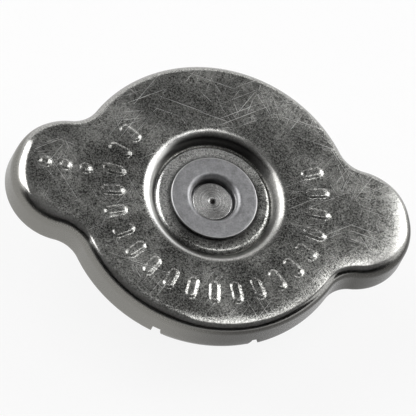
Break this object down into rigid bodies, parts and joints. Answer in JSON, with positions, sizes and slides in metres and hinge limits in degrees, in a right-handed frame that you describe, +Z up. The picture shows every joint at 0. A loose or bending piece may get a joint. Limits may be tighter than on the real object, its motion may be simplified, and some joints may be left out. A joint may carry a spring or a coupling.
{
  "type": "radiator cap",
  "caption": "Pressed steel radiator cap with two finger ears, bayonet lugs under the skirt and a sprung pressure and vacuum valve hanging on a swivelling rivet.",
  "frame": {"origin": "centre of the pressure seal's underside, on the cap's axis", "axes": "+Z up along the cap's axis towards the lid, +X through the middle of one ear"},
  "size_m": [0.0634, 0.0452, 0.022],
  "materials": {
    "lid_plate": "worn grainy plating",
    "hub_plate": "smooth matte plating",
    "rivet_metal": "turned",
    "spring_sheet": "rolled",
    "drawn_plate": "satin plating",
    "spring_wire": "drawn wire",
    "seal_rubber": "moulded",
    "valve_brass": "stamped"
  },
  "bodies": {
    "shell": {"cap_shell": "lid_plate"},
    "carrier": {"hub_washer": "hub_plate", "centre_rivet": "rivet_metal", "diaphragm": "spring_sheet", "upper_seal": "seal_rubber", "bell_housing": "drawn_plate", "pressure_spring": "spring_wire"},
    "pressure_valve": {"spring_seat": "drawn_plate", "valve_plate": "drawn_plate", "pressure_seal": "seal_rubber", "seal_retainer": "valve_brass", "vacuum_spring": "spring_wire"},
    "vacuum_valve": {"vacuum_disc": "valve_brass", "vacuum_stem": "valve_brass", "stem_retainer": "valve_brass"}
  },
  "joints": [
    {"name": "lid_swivel", "type": "hinge", "parent": "shell", "child": "carrier", "pos_m": [0, 0, 0.02], "axis": [0, 0, 1], "continuous": true},
    {"name": "pressure_lift", "type": "slide", "parent": "carrier", "child": "pressure_valve", "axis": [0, 0, 1], "range_m": [0, 0.0025], "stiffness_N_per_m": 4500, "springref_m": -0.006, "deforming": ["pressure_spring"]},
    {"name": "vacuum_drop", "type": "slide", "parent": "pressure_valve", "child": "vacuum_valve", "axis": [0, 0, -1], "range_m": [0, 0.0018], "stiffness_N_per_m": 100, "springref_m": -0.003, "deforming": ["vacuum_spring"]}
  ]
}
